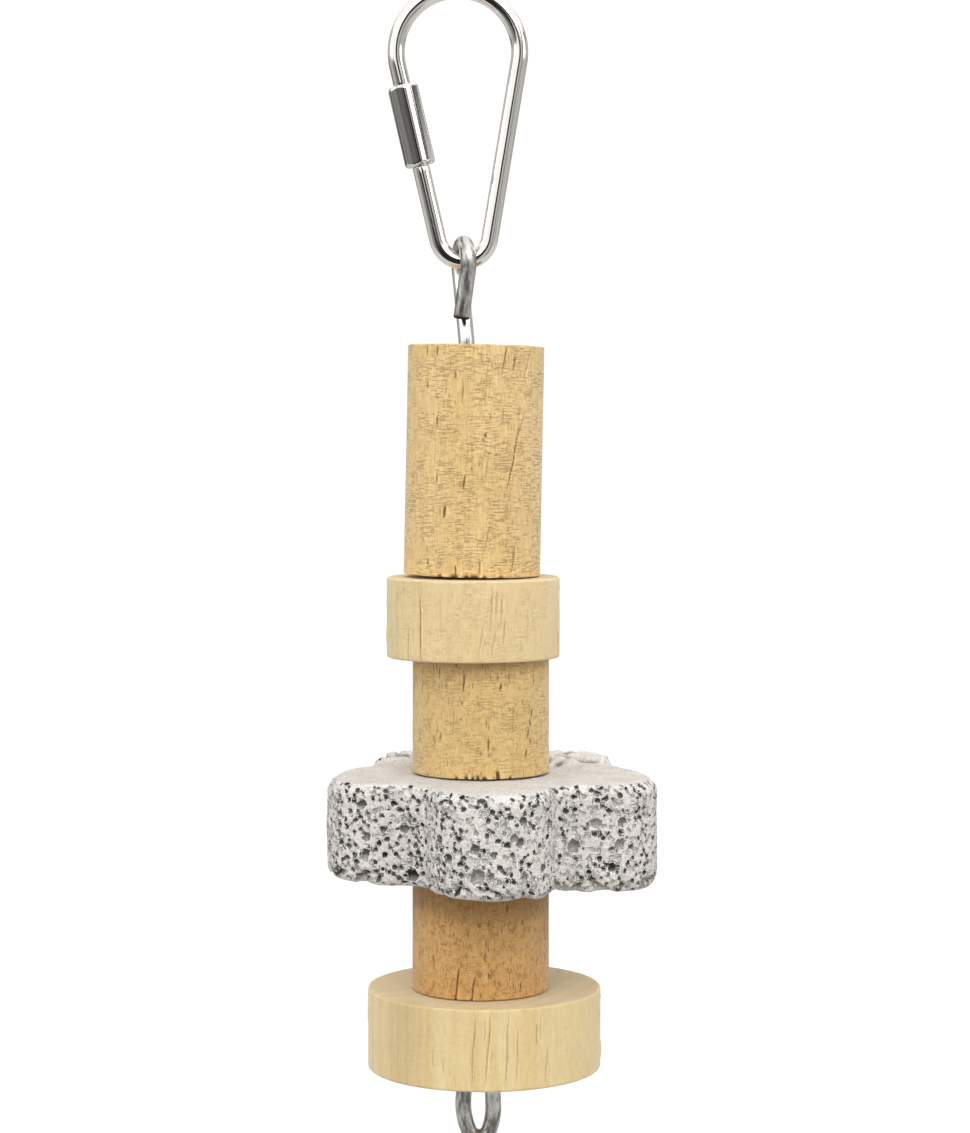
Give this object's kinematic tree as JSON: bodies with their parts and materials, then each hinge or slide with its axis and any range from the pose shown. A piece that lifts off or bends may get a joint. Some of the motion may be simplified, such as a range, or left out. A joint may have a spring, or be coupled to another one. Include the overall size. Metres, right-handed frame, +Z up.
{
  "type": "lava gnawing stick",
  "caption": "Hanging gnawing stick for small pets: wooden dowels, wooden discs and a flower-shaped lava stone on a wire rod with an eye at each end, swinging from a pear-shaped screw link.",
  "frame": {"origin": "inside of the screw link's top bend, the seat that the stick hangs by", "axes": "+Z up along the hanging stick, -Y towards the viewer, +X to the viewer's right; the link lies in the XZ plane"},
  "size_m": [0.0575, 0.056, 0.2041],
  "materials": {
    "link_nickel": "polished nickel plate on steel wire",
    "rod_wire": "satin drawn steel wire",
    "pale_wood": "bare pale dowel with fine saw marks",
    "cream_wood": "bare cream wood with ripple grain",
    "tan_wood": "bare tan dowel, speckled",
    "pumice": "porous light grey lava stone"
  },
  "bodies": {
    "link": {"link_body": "link_nickel"},
    "sleeve": {"link_sleeve": "link_nickel"},
    "rod": {"eye_rod": "rod_wire"},
    "large_disc": {"large_disc": "cream_wood"},
    "lower_dowel": {"lower_dowel": "tan_wood"},
    "lava_stone": {"lava_stone": "pumice"},
    "middle_dowel": {"middle_dowel": "tan_wood"},
    "small_disc": {"small_disc": "cream_wood"},
    "long_dowel": {"long_dowel": "pale_wood"}
  },
  "joints": [
    {"name": "sleeve_travel", "type": "slide", "parent": "link", "child": "sleeve", "axis": [0.2251, 0, -0.9743], "range_m": [0, 0.0078]},
    {"name": "rod_swing", "type": "hinge", "parent": "link", "child": "rod", "pos_m": [0.001, 0, -0.04578], "axis": [1, 0, 0], "range_deg": [-120, 120]},
    {"name": "large_disc_spin", "type": "hinge", "parent": "rod", "child": "large_disc", "pos_m": [0.0046, 0.00105, -0.18709], "axis": [0, 0, 1], "continuous": true},
    {"name": "stack_lift", "type": "slide", "parent": "rod", "child": "lower_dowel", "axis": [-0.0349, 0, 0.9994], "range_m": [0, 0.004]},
    {"name": "stone_spin", "type": "hinge", "parent": "lower_dowel", "child": "lava_stone", "pos_m": [0.00604, 0, -0.15279], "axis": [0, 0, 1], "continuous": true},
    {"name": "middle_dowel_spin", "type": "hinge", "parent": "lower_dowel", "child": "middle_dowel", "pos_m": [0.004, 0, -0.13514], "axis": [0, 0, 1], "continuous": true},
    {"name": "small_disc_spin", "type": "hinge", "parent": "lower_dowel", "child": "small_disc", "pos_m": [0.00268, 0, -0.11499], "axis": [0, 0, 1], "continuous": true},
    {"name": "long_dowel_spin", "type": "hinge", "parent": "lower_dowel", "child": "long_dowel", "pos_m": [0.00281, 0, -0.0806], "axis": [0.02, 0, 0.9998], "continuous": true}
  ]
}
